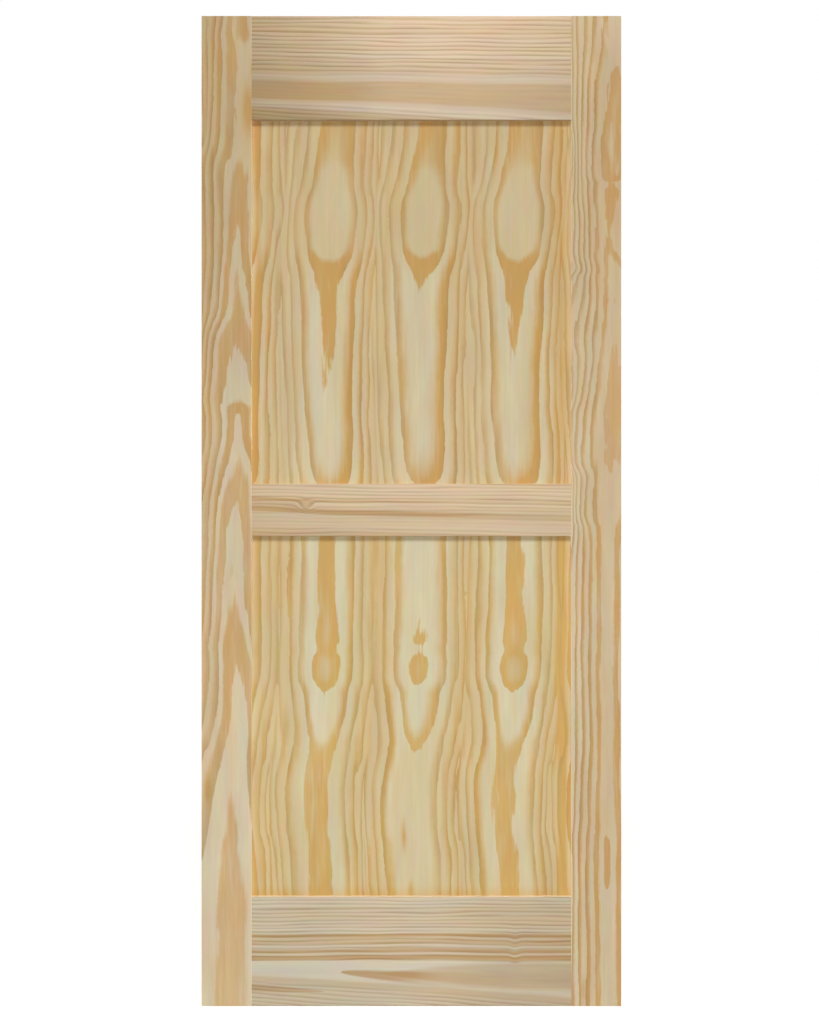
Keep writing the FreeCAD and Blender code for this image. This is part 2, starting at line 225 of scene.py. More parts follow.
LEFT_STILE_FIGURE = Figure(
    axis=-369.0,
    pitch=176.0,
    drift=[
        (0, 6), (190, 11), (320, -3), (440, -6), (570, -7), (960, -7), (1090, -15), (1345, -13), (1430, -5),
        (1600, -15), (1800, -22), (2134, -22),
    ],
    heart=[
        (0, 2.75), (40, 2.62), (75, 2.22), (120, 2.15), (250, 2.15), (300, 2.24), (330, 2.45), (400, 2.7),
        (444, 3.0), (540, 3.28), (560, 3.4), (728, 4.0), (826, 4.3), (838, 4.6), (862, 5.03), (940, 5.22),
        (972, 5.42), (1065, 6.0), (1260, 6.38), (1398, 7.0), (1640, 7.3), (1694, 7.4), (1760, 7.46),
        (1823, 7.5), (2000, 7.56), (2134, 7.6),
    ],
    valley=[
        (0, -1.8), (140, -1.65), (260, -1.15), (560, -1.2), (700, -1.0), (780, -0.3), (860, 0.8),
        (1000, 1.0), (1172, 1.4), (1474, 3.6), (1797, 6.4), (2134, 6.75),
    ],
    plan=[
        (0, 1.3), (140, 2.0), (260, 2.05), (380, 1.75), (500, 1.4), (620, 1.4), (740, 2.7), (825, 2.6),
        (880, 1.5), (980, 2.0), (1100, 2.0), (1500, 1.75), (2134, 1.6),
    ],
    left=(1.0, 0.85, 1.0, 0.9, 1.1, 0.8, 1.05, 0.9),
    early=[(0, 0.4), (640, 0.26), (900, 0.17), (1500, 0.15), (2134, 0.13)],
    valley_early=[(0, 0.6), (1400, 0.55), (1800, 0.2), (2134, 0.16)],
    late=[(0, 0.95), (1000, 0.94), (1500, 0.84), (2134, 0.7)],
    valley_late=0.9,
    start=[(0, 0.27), (1400, 0.27), (1650, 0.36), (2134, 0.36)],
    full=[(0, 0.55), (1400, 0.5), (1650, 0.43), (2134, 0.43)],
    valley_start=0.27,
    valley_full=0.6,
    line=0.2,
    # Partly the wood's own lightness and partly painted light falloff, darker towards the top.
    light=[
        (0, 0.88), (210, 0.88), (420, 0.89), (640, 0.92), (850, 0.97), (1070, 0.98), (1290, 1.0),
        (1500, 1.04), (1640, 1.05), (1900, 1.01), (2134, 1.03),
    ],
    ragged=[(0, 0.05), (1450, 0.05), (1660, 0.012), (2134, 0.012)],
    gnarl=[
        (0, 0.2), (640, 0.16), (730, 0.06), (870, 0.06), (1060, 0.16), (1300, 0.12), (1600, 0.03),
        (2134, 0.03),
    ],
    marks=(Mark(-351, 203, 13, 52, 0.75), Mark(-441, 1668, 6, 22, 0.5)),
)

RIGHT_STILE_FIGURE = Figure(
    axis=430.0,
    pitch=190.0,
    drift=[
        (0, 8), (330, 8), (380, 3.5), (440, -1.5), (500, -2), (560, 8), (740, 8), (860, 6), (930, 5),
        (1040, -2), (1100, -5), (1220, -8), (2134, -9),
    ],
    heart=[
        (0, 0.5), (60, 0.42), (100, 0.12), (113, 0), (145, -0.19), (200, -0.3), (260, -0.42), (330, -0.44),
        (350, -0.25), (360, 0.03), (370, -0.02), (385, -0.12), (440, -0.12), (500, -0.3), (560, -0.85),
        (620, -0.9), (680, -0.95), (705, -1.0), (740, -1.12), (800, -1.25), (920, -1.25), (985, -1.0),
        (1010, -0.9), (2134, -0.9),
    ],
    valley=[
        (0, 5.0), (140, 5.5), (200, 5.4), (260, 6.3), (320, 7.0), (380, 6.4), (440, 6.8), (500, 6.8),
        (560, 5.0), (620, 3.9), (680, 3.6), (740, 4.1), (800, 4.2), (860, 3.2), (920, 3.1), (980, 4.5),
        (1040, 6.3), (1100, 6.0), (1220, 4.9), (1700, 4.9), (1800, 4.4), (2134, 4.4),
    ],
    plan=[
        (0, 1.9), (140, 2.0), (200, 2.0), (260, 2.45), (320, 2.7), (380, 2.2), (440, 1.8), (500, 1.75),
        (560, 1.7), (620, 1.4), (680, 1.5), (740, 1.55), (800, 1.8), (860, 2.1), (980, 2.2), (1040, 2.4),
        (1100, 1.75), (1220, 1.4), (1700, 1.38), (1800, 1.5), (2134, 1.5),
    ],
    flare=[
        (0, 0), (1740, 0), (1770, -0.15), (1800, -0.35), (1850, -0.35), (1880, -0.15), (1905, 0), (2134, 0),
    ],
    reach=0.1,
    skew=[(0, 0), (490, 0), (560, -0.58), (620, -0.46), (680, -0.23), (740, 0), (2134, 0)],
    left=(1.0, 0.95, 0.9, 0.9, 0.9),
    early=[
        (0, 0.3), (60, 0.34), (140, 0.46), (420, 0.46), (700, 0.4), (1000, 0.36), (1800, 0.34),
        (2134, 0.26),
    ],
    valley_early=[(0, 0.28), (900, 0.26), (1100, 0.14), (2134, 0.14)],
    late=[(0, 1.0), (350, 0.95), (600, 0.95), (780, 0.8), (980, 0.8), (1080, 0.95), (2134, 0.95)],
    valley_late=0.84,
    start=[(0, 0.7), (60, 0.66), (113, 0.45), (430, 0.42), (2134, 0.42)],
    full=[(0, 0.85), (60, 0.85), (113, 0.68), (1050, 0.62), (2134, 0.58)],
    valley_start=0.34,
    valley_full=0.75,
    line=0.19,
    light=[
        (0, 1.03), (150, 0.97), (330, 0.93), (540, 0.965), (800, 1.0), (1300, 1.01), (1600, 0.985),
        (2134, 0.97),
    ],
    ragged=0.06,
    gnarl=[(0, 0.26), (1000, 0.24), (1300, 0.12), (2134, 0.12)],
    wander=0.9,
    marks=(Mark(370, 2099, 5, 30, 0.5),),
)

# Figure of a rail, whose grain runs level. These are profiles by millimetres below its upper edge: bands,
# the tone; slope, how far the bands drop per metre to the right; lines, how dark the fine lines are, which
# are line_pitch millimetres apart; fall, how light the wood is, on the top rail also painted light falloff,
# lighter at its upper edge. These are profiles by millimetres across the door: light, how light the wood is,
# on the top rail also painted light falloff, darker towards its left end; stain, the tone that is added. dip
# is a dip in the lines, and flames are dark flames in the grain.
RailFigure = namedtuple("RailFigure", "bands slope line_pitch lines light fall stain dip flames")
Dip = namedtuple("Dip", "across below depth width height")
Flame = namedtuple("Flame", "across below length width taper slope tone end_tone")

TOP_RAIL_FIGURE = RailFigure(
    bands=[
        (0, 0.58), (6, 0.58), (13, 0.48), (26, 0.56), (39, 0.5), (46, 0.38), (60, 0.39), (69, 0.48),
        (80, 0.32), (91, 0.28), (98, 0.58), (106, 0.44), (119, 0.54), (126, 0.4), (132, 0.15), (140, 0.22),
        (147, 0.72), (180, 0.78), (188, 0.5), (196, 0.15), (204, 0.02), (214, 0.42), (224, 0.7),
    ],
    slope=[(0, 4), (120, 14), (165, 22), (200, 55), (224, 62)],
    line_pitch=9.4,
    lines=[
        (0, 0.25), (40, 0.34), (100, 0.34), (125, 0.22), (140, 0.05), (195, 0.04), (206, 0.2), (224, 0.24),
    ],
    # Partly the wood's own lightness and partly painted light falloff: darker towards the left end, lighter at
    # the upper edge.
    light=[(-345, 0.82), (-287, 0.87), (-128, 1.045), (23, 1.19), (174, 1.16), (345, 1.06)],
    fall=[(0, 1.08), (40, 1.04), (100, 1.0), (122, 0.95), (140, 0.89), (185, 0.9), (224, 0.86)],
    stain=[(-345, 0.2), (-230, 0.14), (-100, 0), (345, 0)],
    dip=None,
    flames=(Flame(-345, 158, 330, 22, 0.1, 0.03, 0.4, 0.0),),
)
MID_RAIL_FIGURE = RailFigure(
    bands=[
        (0, 0.55), (6, 0.28), (26, 0.22), (37, 0.34), (44, 0.12), (54, 0.3), (66, 0.16), (100, 0.18),
        (106, 0.36), (113, 0.6),
    ],
    slope=[(0, 10), (113, 20)],
    line_pitch=8.6,
    lines=[
        (0, 0.22), (28, 0.24), (36, 0.34), (46, 0.2), (66, 0.2), (74, 0.08), (90, 0.08), (104, 0.2),
        (113, 0.2),
    ],
    light=[(-345, 1.02), (-100, 1.08), (100, 1.1), (345, 1.06)],
    fall=[(0, 1.01), (30, 0.99), (60, 0.96), (78, 0.95), (92, 0.98), (113, 1.0)],
    stain=[(-345, 0.08), (-200, 0), (345, 0)],
    dip=Dip(-228, 54, 13, 16, 18),
    flames=(
        Flame(-345, 54, 640, 7, 0.1, 0.033, 0.95, 0.35),
        Flame(-345, 32, 500, 3, 0.1, 0.02, 0.5, 0.1),
        Flame(-210, 43, -135, 16, 0.3, 0.0, 0.3, 0.35),
    ),
)
BOTTOM_RAIL_FIGURE = RailFigure(
    bands=[
        (0, 0.4), (6, 0.25), (14, 0.24), (26, 0.34), (60, 0.36), (72, 0.26), (78, 0.3), (84, 0.9),
        (90, 0.45), (98, 0.66), (106, 0.3), (111, 0.36), (117, 0.85), (124, 0.32), (129, 0.94), (133, 0.85),
        (138, 0.25), (143, 0.08), (155, 0.02), (185, 0.02), (194, 0.4), (202, 0.45), (210, 0.3), (235, 0.3),
    ],
    slope=[(0, 0), (130, 0), (150, 20), (185, 70), (235, 70)],
    line_pitch=8.6,
    lines=[
        (0, 0.22), (40, 0.28), (80, 0.28), (135, 0.26), (146, 0.02), (195, 0.02), (210, 0.2), (235, 0.24),
    ],
    light=[(-345, 1.01), (-100, 1.04), (60, 1.05), (200, 1.01), (345, 0.99)],
    fall=[(0, 0.99), (60, 1.01), (134, 1.04), (148, 0.95), (190, 0.94), (205, 0.98), (235, 0.99)],
    stain=[(-345, 0), (0, 0.02), (150, 0.12), (345, 0.15)],
    dip=Dip(223, 115, 4, 11, 45),
    flames=(
        Flame(-152, 162, 240, 18, 0.45, 0.08, 0.85, 0.15),
        Flame(-70, 165, 330, 38, 0.8, 0.02, 0.45, 0.32),
        Flame(-188, 203, -157, 9, 0.6, 0.055, 0.45, 0.45),
    ),
)
FIGURES = {
    "upper_panel": UPPER_FIGURE,
    "lower_panel": LOWER_FIGURE,
    "left_stile": LEFT_STILE_FIGURE,
    "right_stile": RIGHT_STILE_FIGURE,
    "top_rail": TOP_RAIL_FIGURE,
    "mid_rail": MID_RAIL_FIGURE,
    "bottom_rail": BOTTOM_RAIL_FIGURE,
}


def tint(red, green, blue):
    """A colour as a screen shows it, 0 to 255, turned into the linear light that shaders use."""
    shares = [value / 255 for value in (red, green, blue)]
    return tuple(s / 12.92 if s <= 0.04045 else ((s + 0.055) / 1.055) ** 2.4 for s in shares)


def colour_property(name, shown, description):
    """A colour that a user may change."""
    return bpy.props.FloatVectorProperty(
        name=name, description=description, default=tint(*shown), subtype="COLOR", size=3, min=0.0, max=1.0
    )


def wood_property(piece, kind, shown):
    """The colour of a piece's pale or dark wood."""
    description = f"{kind.capitalize()} wood of the {piece.lower()}"
    return colour_property(f"{piece}, {kind} wood", shown, description)


def number_property(name, description, default, unit="NONE"):
    """A number that a user may change."""
    return bpy.props.FloatProperty(name=name, description=description, default=default, unit=unit)


class BarnDoorColours(bpy.types.PropertyGroup):
    """Wood of each member, as it shows in even light, and the colours of the stage."""

    # The upper panel's woods are a little darker than the lower panel's: partly the veneer and partly painted
    # light falloff towards the top.
    upper_panel_pale: wood_property("Upper panel", "pale", (206, 197, 166))
    upper_panel_dark: wood_property("Upper panel", "dark", (192, 150, 85))
    lower_panel_pale: wood_property("Lower panel", "pale", (210, 202, 170))
    lower_panel_dark: wood_property("Lower panel", "dark", (200, 161, 93))
    panel_heart: colour_property("Panel heart", (202, 184, 145), "Pinkish wood in the middle of a leaf")
    stile_heart: colour_property("Stile blush", (204, 181, 152), "Pinkish wood here and there in the stiles")
    stile_pale: wood_property("Stile faces", "pale", (206, 194, 166))
    stile_dark: wood_property("Stile faces", "dark", (190, 150, 93))
    top_rail_pale: wood_property("Top rail", "pale", (211, 193, 170))
    top_rail_dark: wood_property("Top rail", "dark", (190, 158, 115))
    mid_rail_pale: wood_property("Mid rail", "pale", (209, 188, 158))
    mid_rail_dark: wood_property("Mid rail", "dark", (186, 151, 107))
    bottom_rail_pale: wood_property("Bottom rail", "pale", (203, 194, 173))
    bottom_rail_dark: wood_property("Bottom rail", "dark", (177, 144, 101))
    band_pale: wood_property("Edge bands", "pale", (212, 192, 152))
    band_dark: wood_property("Edge bands", "dark", (188, 148, 95))
    core_pale: wood_property("Stave cores", "pale", (205, 184, 142))
    core_dark: wood_property("Stave cores", "dark", (168, 128, 80))
    board_pale: colour_property("Fibreboard, pale", (176, 148, 112), "Pale fibres of the panel cores")
    board_dark: colour_property("Fibreboard, dark", (128, 98, 68), "Dark fibres of the panel cores")
    dowel_pale: wood_property("Dowels", "pale", (214, 186, 148))
    dowel_dark: wood_property("Dowels", "dark", (182, 146, 106))
    floor_shade: colour_property("Floor", (246, 246, 246), "Pale studio floor")
    top_tint: colour_property("Top lamp", (240, 247, 255), "Light of the top lamp")
    lamp_tint: colour_property("Other lamps", (255, 249, 240), "Light of the other lamps")
    fill_tint: colour_property("Fill", (255, 245, 228), "Light from all round")


class BarnDoorSizes(bpy.types.PropertyGroup):
    """Sizes of the modelled faces."""

    arris: number_property("Eased arris", "Radius along the long edges of a face", 1.2 * MM, "LENGTH")
    arris_steps: bpy.props.IntProperty(
        name="Arris facets", description="Facets round an eased arris", default=4, min=1
    )


class BarnDoorStage(bpy.types.PropertyGroup):
    """Camera, lamps and floor."""

    lens: number_property("Lens", "Focal length in millimetres on a 36 mm sensor", 50.0)
    distance: number_property("Camera distance", "From the door's face to the camera", 3.065, "LENGTH")
    camera_across: number_property("Camera across", "Camera's place across the door", -4.1 * MM, "LENGTH")
    camera_height: number_property("Camera height", "Camera's height above the floor", 1064.6 * MM, "LENGTH")
    lamp_height: number_property("Top lamp height", "Angle above level", math.radians(46), "ROTATION")
    lamp_spread: number_property("Lamp spread", "Angle that a lamp fills", math.radians(18), "ROTATION")
    top_light: number_property("Top light", "Share of the light on the front that comes from above", 0.515)
    front_light: number_property("Front light", "Share of the light on the front that comes level", 0.24)
    round_light: number_property("Light round about", "Light on the ends and the back", 0.65)
    fill: number_property("Fill", "Light from all round", 0.2)
    floor_size: number_property("Floor", "Length of the floor's sides", 14.0, "LENGTH")


class Graph:
    """Adds nodes to one node tree, each linked to what feeds it."""

    def __init__(self, tree):
        self.tree = tree

    def add(self, kind, **settings):
        node = self.tree.nodes.new(kind)
        for key, value in settings.items():
            setattr(node, key, value)
        return node

    def feed(self, socket, value):
        if isinstance(value, bpy.types.NodeSocket):
            self.tree.links.new(value, socket)
        else:
            socket.default_value = value

    def feed_all(self, sockets, *values):
        for socket, value in zip(sockets, values):
            self.feed(socket, value)

    def math(self, operation, *values, clamp=False):
        node = self.add("ShaderNodeMath", operation=operation, use_clamp=clamp)
        self.feed_all(node.inputs, *values)
        return node.outputs[0]

    def plus(self, first, second, clamp=False):
        return self.math("ADD", first, second, clamp=clamp)

    def minus(self, first, second):
        return self.math("SUBTRACT", first, second)

    def times(self, first, second):
        return self.math("MULTIPLY", first, second)

    def over(self, first, second):
        return self.math("DIVIDE", first, second)

    def add_share(self, base, value, share):
        """The base, with a share of the value added to it."""
        return self.math("MULTIPLY_ADD", value, share, base)

    def stretch(self, vector, scale):
        node = self.add("ShaderNodeVectorMath", operation="MULTIPLY")
        self.feed_all(node.inputs, vector, scale)
        return node.outputs[0]

    def join(self, x, y, z):
        node = self.add("ShaderNodeCombineXYZ")
        self.feed_all(node.inputs, x, y, z)
        return node.outputs[0]

    def split(self, vector):
        node = self.add("ShaderNodeSeparateXYZ")
        self.feed(node.inputs[0], vector)
        return node.outputs[0], node.outputs[1], node.outputs[2]

    def span(self, value, low, high, to_low=0.0, to_high=1.0, smooth=False):
        node = self.add("ShaderNodeMapRange", interpolation_type="SMOOTHSTEP" if smooth else "LINEAR")
        self.feed_all(node.inputs, value, low, high, to_low, to_high)
        return node.outputs[0]

    def mix(self, share, first, second):
        node = self.add("ShaderNodeMix", data_type="FLOAT")
        self.feed_all(node.inputs[0:1] + node.inputs[2:4], share, first, second)
        return node.outputs[0]

    def blend(self, share, first, second, mode="MIX"):
        node = self.add("ShaderNodeMix", data_type="RGBA", blend_type=mode)
        self.feed_all(node.inputs[0:1] + node.inputs[6:8], share, first, second)
        return node.outputs[2]

    def sway(self, grain, across, along, amount, detail=1.0, deep=None):
        """Noise about zero, of the given amount each way, in clouds of that many millimetres."""
        node = self.add("ShaderNodeTexNoise")
        scale = (1 / across, 1 / (deep or across), 1 / along)
        self.feed(node.inputs["Vector"], self.stretch(grain, scale))
        node.inputs["Scale"].default_value = 1.0
        node.inputs["Detail"].default_value = detail
        return self.times(self.minus(node.outputs["Fac"], 0.5), NOISE_GAIN * amount)

    def profile(self, place, points):
        """A plain number, or a smooth curve through (place, value) points."""
        if isinstance(points, float):
            return points
        places, values = zip(*points)
        first, last = places[0], places[-1]
        low, high = min(values), max(values)
        node = self.add("ShaderNodeFloatCurve")
        line = node.mapping.curves[0]
        spots = [((p - first) / (last - first), (v - low) / (high - low)) for p, v in points]
        line.points[0].location = spots[0]
        line.points[-1].location = spots[-1]
        for x, y in spots[1:-1]:
            line.points.new(x, y)
        for point in line.points:
            point.handle_type = "AUTO_CLAMPED"
        node.mapping.update()
        self.feed(node.inputs["Value"], self.span(place, first, last))
        return self.span(node.outputs[0], 0.0, 1.0, low, high)

    def nearness(self, spot, across, below):
        """1 at the middle of a spot, falling away over its width and height."""
        aside = self.over(self.minus(across, spot.across), spot.width)
        away = self.over(self.minus(below, spot.below), spot.height)
        far = self.add_share(self.times(away, away), aside, aside)
        return self.math("EXPONENT", self.times(far, -1.0))

    def group(self, name, **values):
        """The outputs of a shared node group, which is built when it is first called for."""
        tree = bpy.data.node_groups.get(name) or GROUPS[name](name)
        node = self.add("ShaderNodeGroup", node_tree=tree)
        for socket, value in values.items():
            self.feed(node.inputs[socket.capitalize()], value)
        return node.outputs

    def grain_space(self, upright):
        """Object coordinates in millimetres: across the grain, depth and along the grain."""
        place = self.add("ShaderNodeTexCoord").outputs["Object"]
        x, y, z = self.split(self.stretch(place, (1 / MM,) * 3))
        return (x, y, z) if upright else (z, y, x)


# The sockets of the node groups carry numbers, apart from these.
SOCKET_KINDS = {
    "Grain": "NodeSocketVector",
    "Pale": "NodeSocketColor",
    "Dark": "NodeSocketColor",
    "Colour": "NodeSocketColor",
}


def new_group(name, inputs, outputs):
    """A node group with named sockets: its graph, what comes in and what goes out."""
    tree = bpy.data.node_groups.new(name, "ShaderNodeTree")
    for way, sockets in (("INPUT", inputs), ("OUTPUT", outputs)):
        for socket in sockets:
            kind = SOCKET_KINDS.get(socket, "NodeSocketFloat")
            tree.interface.new_socket(socket, in_out=way, socket_type=kind)
    graph = Graph(tree)
    return graph, graph.add("NodeGroupInput").outputs, graph.add("NodeGroupOutput").inputs


def leaf_figure_group(name):
    """Growth ring at each place of a sheet, the side of the heart line, and how far off that line it is."""
    inputs = ("Grain", *(field.capitalize() for field in RING_FIELDS.split()))
    graph, enter, leave = new_group(name, inputs, ("Ring", "Side", "Spread"))
    grain = enter["Grain"]
    broad = graph.sway(grain, 86, 194, 4.7)
    fine = graph.sway(grain, 30, 130, 2.2)
    quiver = graph.sway(grain, 15, 12, 1.0)
    wander = graph.times(graph.plus(graph.plus(broad, fine), quiver), enter["Wander"])
    offset = graph.plus(graph.minus(graph.split(grain)[0], enter["Axis"]), wander)
    turn = graph.math("FRACT", graph.plus(graph.over(offset, enter["Pitch"]), 0.5))
    lean = graph.times(graph.minus(turn, 0.5), 2.0)
    spread = graph.math("ABSOLUTE", lean)
    side = graph.span(lean, -0.25, 0.25, -1.0, 1.0)
    plan = graph.add_share(enter["Plan"], side, 0.1)
    rise = graph.minus(enter["Valley"], enter["Heart"])
    ring = graph.add_share(enter["Heart"], rise, graph.math("POWER", spread, plan))
    near = graph.math("POWER", graph.over(spread, enter["Reach"]), 2.0)
    near = graph.math("EXPONENT", graph.times(near, -1.0))
    ring = graph.add_share(ring, near, enter["Flare"])
    slant = graph.times(lean, graph.span(spread, 0.7, 1.0, 1.0, 0.0))
    ring = graph.add_share(ring, slant, enter["Skew"])
    knurl = graph.times(graph.sway(grain, 11, 70, 1.0, 2.0), graph.span(spread, 0.3, 0.7, 1.0, 0.3))
    ring = graph.add_share(ring, knurl, enter["Gnarl"])
    ripple = graph.sway(grain, 19, 108, 0.05)
    tangle = graph.times(graph.sway(grain, 14, 240, 0.45), graph.span(spread, 0.6, 1.0))
    ring = graph.add_share(ring, graph.plus(ripple, tangle), enter["Wander"])
    teeth = graph.sway(grain, 4, 40, 1.0, 2.0)
    graph.feed(leave["Ring"], graph.add_share(ring, teeth, enter["Ragged"]))
    graph.feed(leave["Side"], side)
    graph.feed(leave["Spread"], spread)
    return graph.tree


def ring_tone_group(name):
    """How dark the wood is within a growth ring: pale, then darker, then a dark line at a sharp edge."""
    graph, enter, leave = new_group(name, ("Ring", "Start", "Full"), ("Tone", "Line"))
    phase = graph.math("FRACT", enter["Ring"])
    rise = graph.span(phase, enter["Start"], enter["Full"], smooth=True)
    fall = graph.span(phase, 0.95, 1.0, 1.0, 0.0, smooth=True)
    edge = graph.span(phase, 0.5, 0.93, smooth=True)
    graph.feed(leave["Tone"], graph.times(rise, fall))
    graph.feed(leave["Line"], graph.times(edge, fall))
    return graph.tree


def fibre_group(name):
    """Streaks, hair lines and soft clouds that run along the grain of any pine piece."""
    # Their size in millimetres, across and along the grain, and how detailed they are.
    clouds = dict(
        Streak=(5, 260, 2.0),
        Hair=(0.7, 45, 2.0),
        Cloud=(55, 240, 1.0),
        Rosy=(13, 60, 1.0),
        Warm=(22, 150, 2.0),
    )
    graph, enter, leave = new_group(name, ("Grain",), clouds)
    for kind, (across, along, detail) in clouds.items():
        graph.feed(leave[kind], graph.sway(enter["Grain"], across, along, 1.0, detail))
    return graph.tree


def pine_surface_group(name):
    """Colour, roughness and relief of raw sanded pine from how dark its wood is."""
    inputs = ("Grain", "Tone", "Pale", "Dark", "Light")
    graph, enter, leave = new_group(name, inputs, ("Colour", "Roughness", "Height"))
    fibres = graph.group("Pine fibres", grain=enter["Grain"])
    tone = graph.add_share(enter["Tone"], fibres["Streak"], 0.1)
    wood = graph.blend(graph.math("MAXIMUM", tone, 0.0), enter["Pale"], enter["Dark"])
    uneven = graph.add_share(1.0, fibres["Cloud"], 0.05)
    light = graph.times(graph.add_share(uneven, fibres["Hair"], 0.04), enter["Light"])
    shade = graph.minus(1.0, light)
    channels = []
    for dim, rosy, warm in zip(LINE_SHADE, ROSY_SHIFT, WARM_SHIFT):
        channel = graph.add_share(1.0, shade, -dim)
        channel = graph.add_share(channel, fibres["Rosy"], rosy)
        channels.append(graph.add_share(channel, fibres["Warm"], warm))
    graph.feed(leave["Colour"], graph.blend(1.0, wood, graph.join(*channels), "MULTIPLY"))
    rough = graph.add_share(0.72, tone, -0.12)
    graph.feed(leave["Roughness"], graph.add_share(rough, fibres["Hair"], 0.06))
    graph.feed(leave["Height"], graph.add_share(tone, fibres["Hair"], 0.3))
    return graph.tree


GROUPS = {
    "Leaf figure": leaf_figure_group,
    "Ring tone": ring_tone_group,
    "Pine fibres": fibre_group,
    "Pine surface": pine_surface_group,
}


def clear_graph(owner):
    """The empty graph of a material or a world."""
    owner.use_nodes = True
    owner.node_tree.nodes.clear()
    return Graph(owner.node_tree)


def new_material(name):
    """A node material and its graph, which is still empty."""
    material = bpy.data.materials.new(name)
    return material, clear_graph(material)


def dress(graph, grain, tone, pale, dark, light=1.0, relief=PINE_RELIEF):
    """Ends a material's graph in the shader of pine of the given tone and lightness."""
    surface = graph.group("Pine surface", grain=grain, tone=tone, pale=pale, dark=dark, light=light)
    bump = graph.add("ShaderNodeBump")
    bump.inputs["Strength"].default_value = BUMP_STRENGTH
    bump.inputs["Distance"].default_value = relief
    graph.feed(bump.inputs["Height"], surface["Height"])
    shader = graph.add("ShaderNodeBsdfPrincipled")
    shader.inputs["Specular IOR Level"].default_value = GLOSS
    graph.feed(shader.inputs["Base Color"], surface["Colour"])
    graph.feed(shader.inputs["Roughness"], surface["Roughness"])
    graph.feed(shader.inputs["Normal"], bump.outputs[0])
    graph.feed(graph.add("ShaderNodeOutputMaterial").inputs["Surface"], shader.outputs[0])


def ring_strength(graph, ring, strengths):
    """How strong the dark wood of each ring is, from a list by ring number."""
    return graph.profile(ring, [(number + LATE_WOOD, share) for number, share in enumerate(strengths)])


def lay_rings(graph, here, grain, across):
    """The rings of a sheet, from its figure at each depth."""
    axis = graph.plus(here.axis, here.drift)
    heart = graph.plus(here.heart, graph.profile(across, here.level))
    here = here._replace(axis=axis, heart=heart)
    fields = {field: getattr(here, field) for field in RING_FIELDS.split()}
    return graph.group("Leaf figure", grain=grain, **fields)


def shade_rings(graph, here, grain, leaf):
    """How dark a sheet's wood is at each place, and how strong the line at a ring's edge is there."""
    ring, spread = leaf["Ring"], leaf["Spread"]
    rightward = graph.span(leaf["Side"], -1.0, 1.0)
    odd = graph.math("FLOORED_MODULO", graph.math("FLOOR", ring), 2.0)
    sooner = graph.times(graph.times(rightward, odd), here.dusk)
    aside = graph.span(spread, 0.3, 0.5, smooth=True)
    start = graph.minus(graph.mix(aside, here.start, here.valley_start), sooner)
    full = graph.mix(aside, here.full, here.valley_full)
    rings = graph.group("Ring tone", ring=ring, start=start, full=full)
    left = ring_strength(graph, ring, here.left)
    right = ring_strength(graph, ring, here.right or here.left)
    patchy = graph.plus(graph.sway(grain, 12, 300, 0.5), 0.85, clamp=True)
    feathery = graph.plus(graph.sway(grain, 8, 90, 0.45), 1.0, clamp=True)
    uneven = graph.mix(graph.span(spread, 0.3, 0.6), feathery, patchy)
    strength = graph.times(graph.mix(rightward, left, right), uneven)
    fade = graph.plus(graph.sway(grain, 10, 180, 0.9), 0.8, clamp=True)
    line = graph.times(graph.times(rings["Line"], fade), graph.span(spread, 0.2, 0.45, smooth=True))
    return graph.times(rings["Tone"], strength), line


def figured_sheet(name, figure, top, pale, dark, heart, facing, shaded_foot=None):
    """Pine sheet with the figure of its leaves, turned round where facing is -1, on the door's back."""
    material, graph = new_material(name)
    across, depth, along = graph.grain_space(upright=True)
    across = graph.times(across, facing)
    grain = graph.join(across, depth, along)
    below = graph.minus(top / MM, along)
    curves = {field: graph.profile(below, getattr(figure, field)) for field in BY_DEPTH.split()}
    here = figure._replace(**curves)
    leaf = lay_rings(graph, here, grain, across)
    darkness, line = shade_rings(graph, here, grain, leaf)
    spread = leaf["Spread"]
    early = graph.mix(graph.span(spread, 0.35, 0.8, smooth=True), here.early, here.valley_early)
    late = graph.mix(graph.span(spread, 0.5, 0.95, smooth=True), here.late, here.valley_late)
    inside = graph.span(leaf["Ring"], 0.97, 1.0, here.blush, 0.0)
    rosy = graph.plus(graph.sway(grain, 45, 230, 0.7), 0.1, clamp=True)
    pale = graph.blend(graph.math("MAXIMUM", inside, rosy), pale, heart)
    tone = graph.mix(darkness, graph.mix(inside, early, HEART_TONE), late)
    bend = graph.plus(across, graph.sway(grain, 60, 190, 4.0))
    # Flecks and streaks, and on the panels painted shade in strips along the side edges beside the stiles.
    for mark in here.marks:
        tone = graph.add_share(tone, graph.nearness(mark, bend, below), mark.tone)
    # Painted shade, warmed by bounce light, in the recess at the bottom of the lower panel above the bottom
    # rail.
    if shaded_foot:
        tone = graph.plus(tone, graph.span(below, shaded_foot - FOOT_SHADE_FADE, shaded_foot, 0.0, FOOT_SHADE_TONE, smooth=True))
    mottle = graph.plus(graph.sway(grain, 9, 70, 0.05, 2.0), graph.sway(grain, 17, 90, 0.09))
    # On the upper panel and the left stile this light also carries painted light falloff, darker towards the
    # top.
    light = graph.add_share(here.light, line, -here.line)
    dress(graph, grain, graph.plus(tone, mottle), pale, dark, light)
    return material


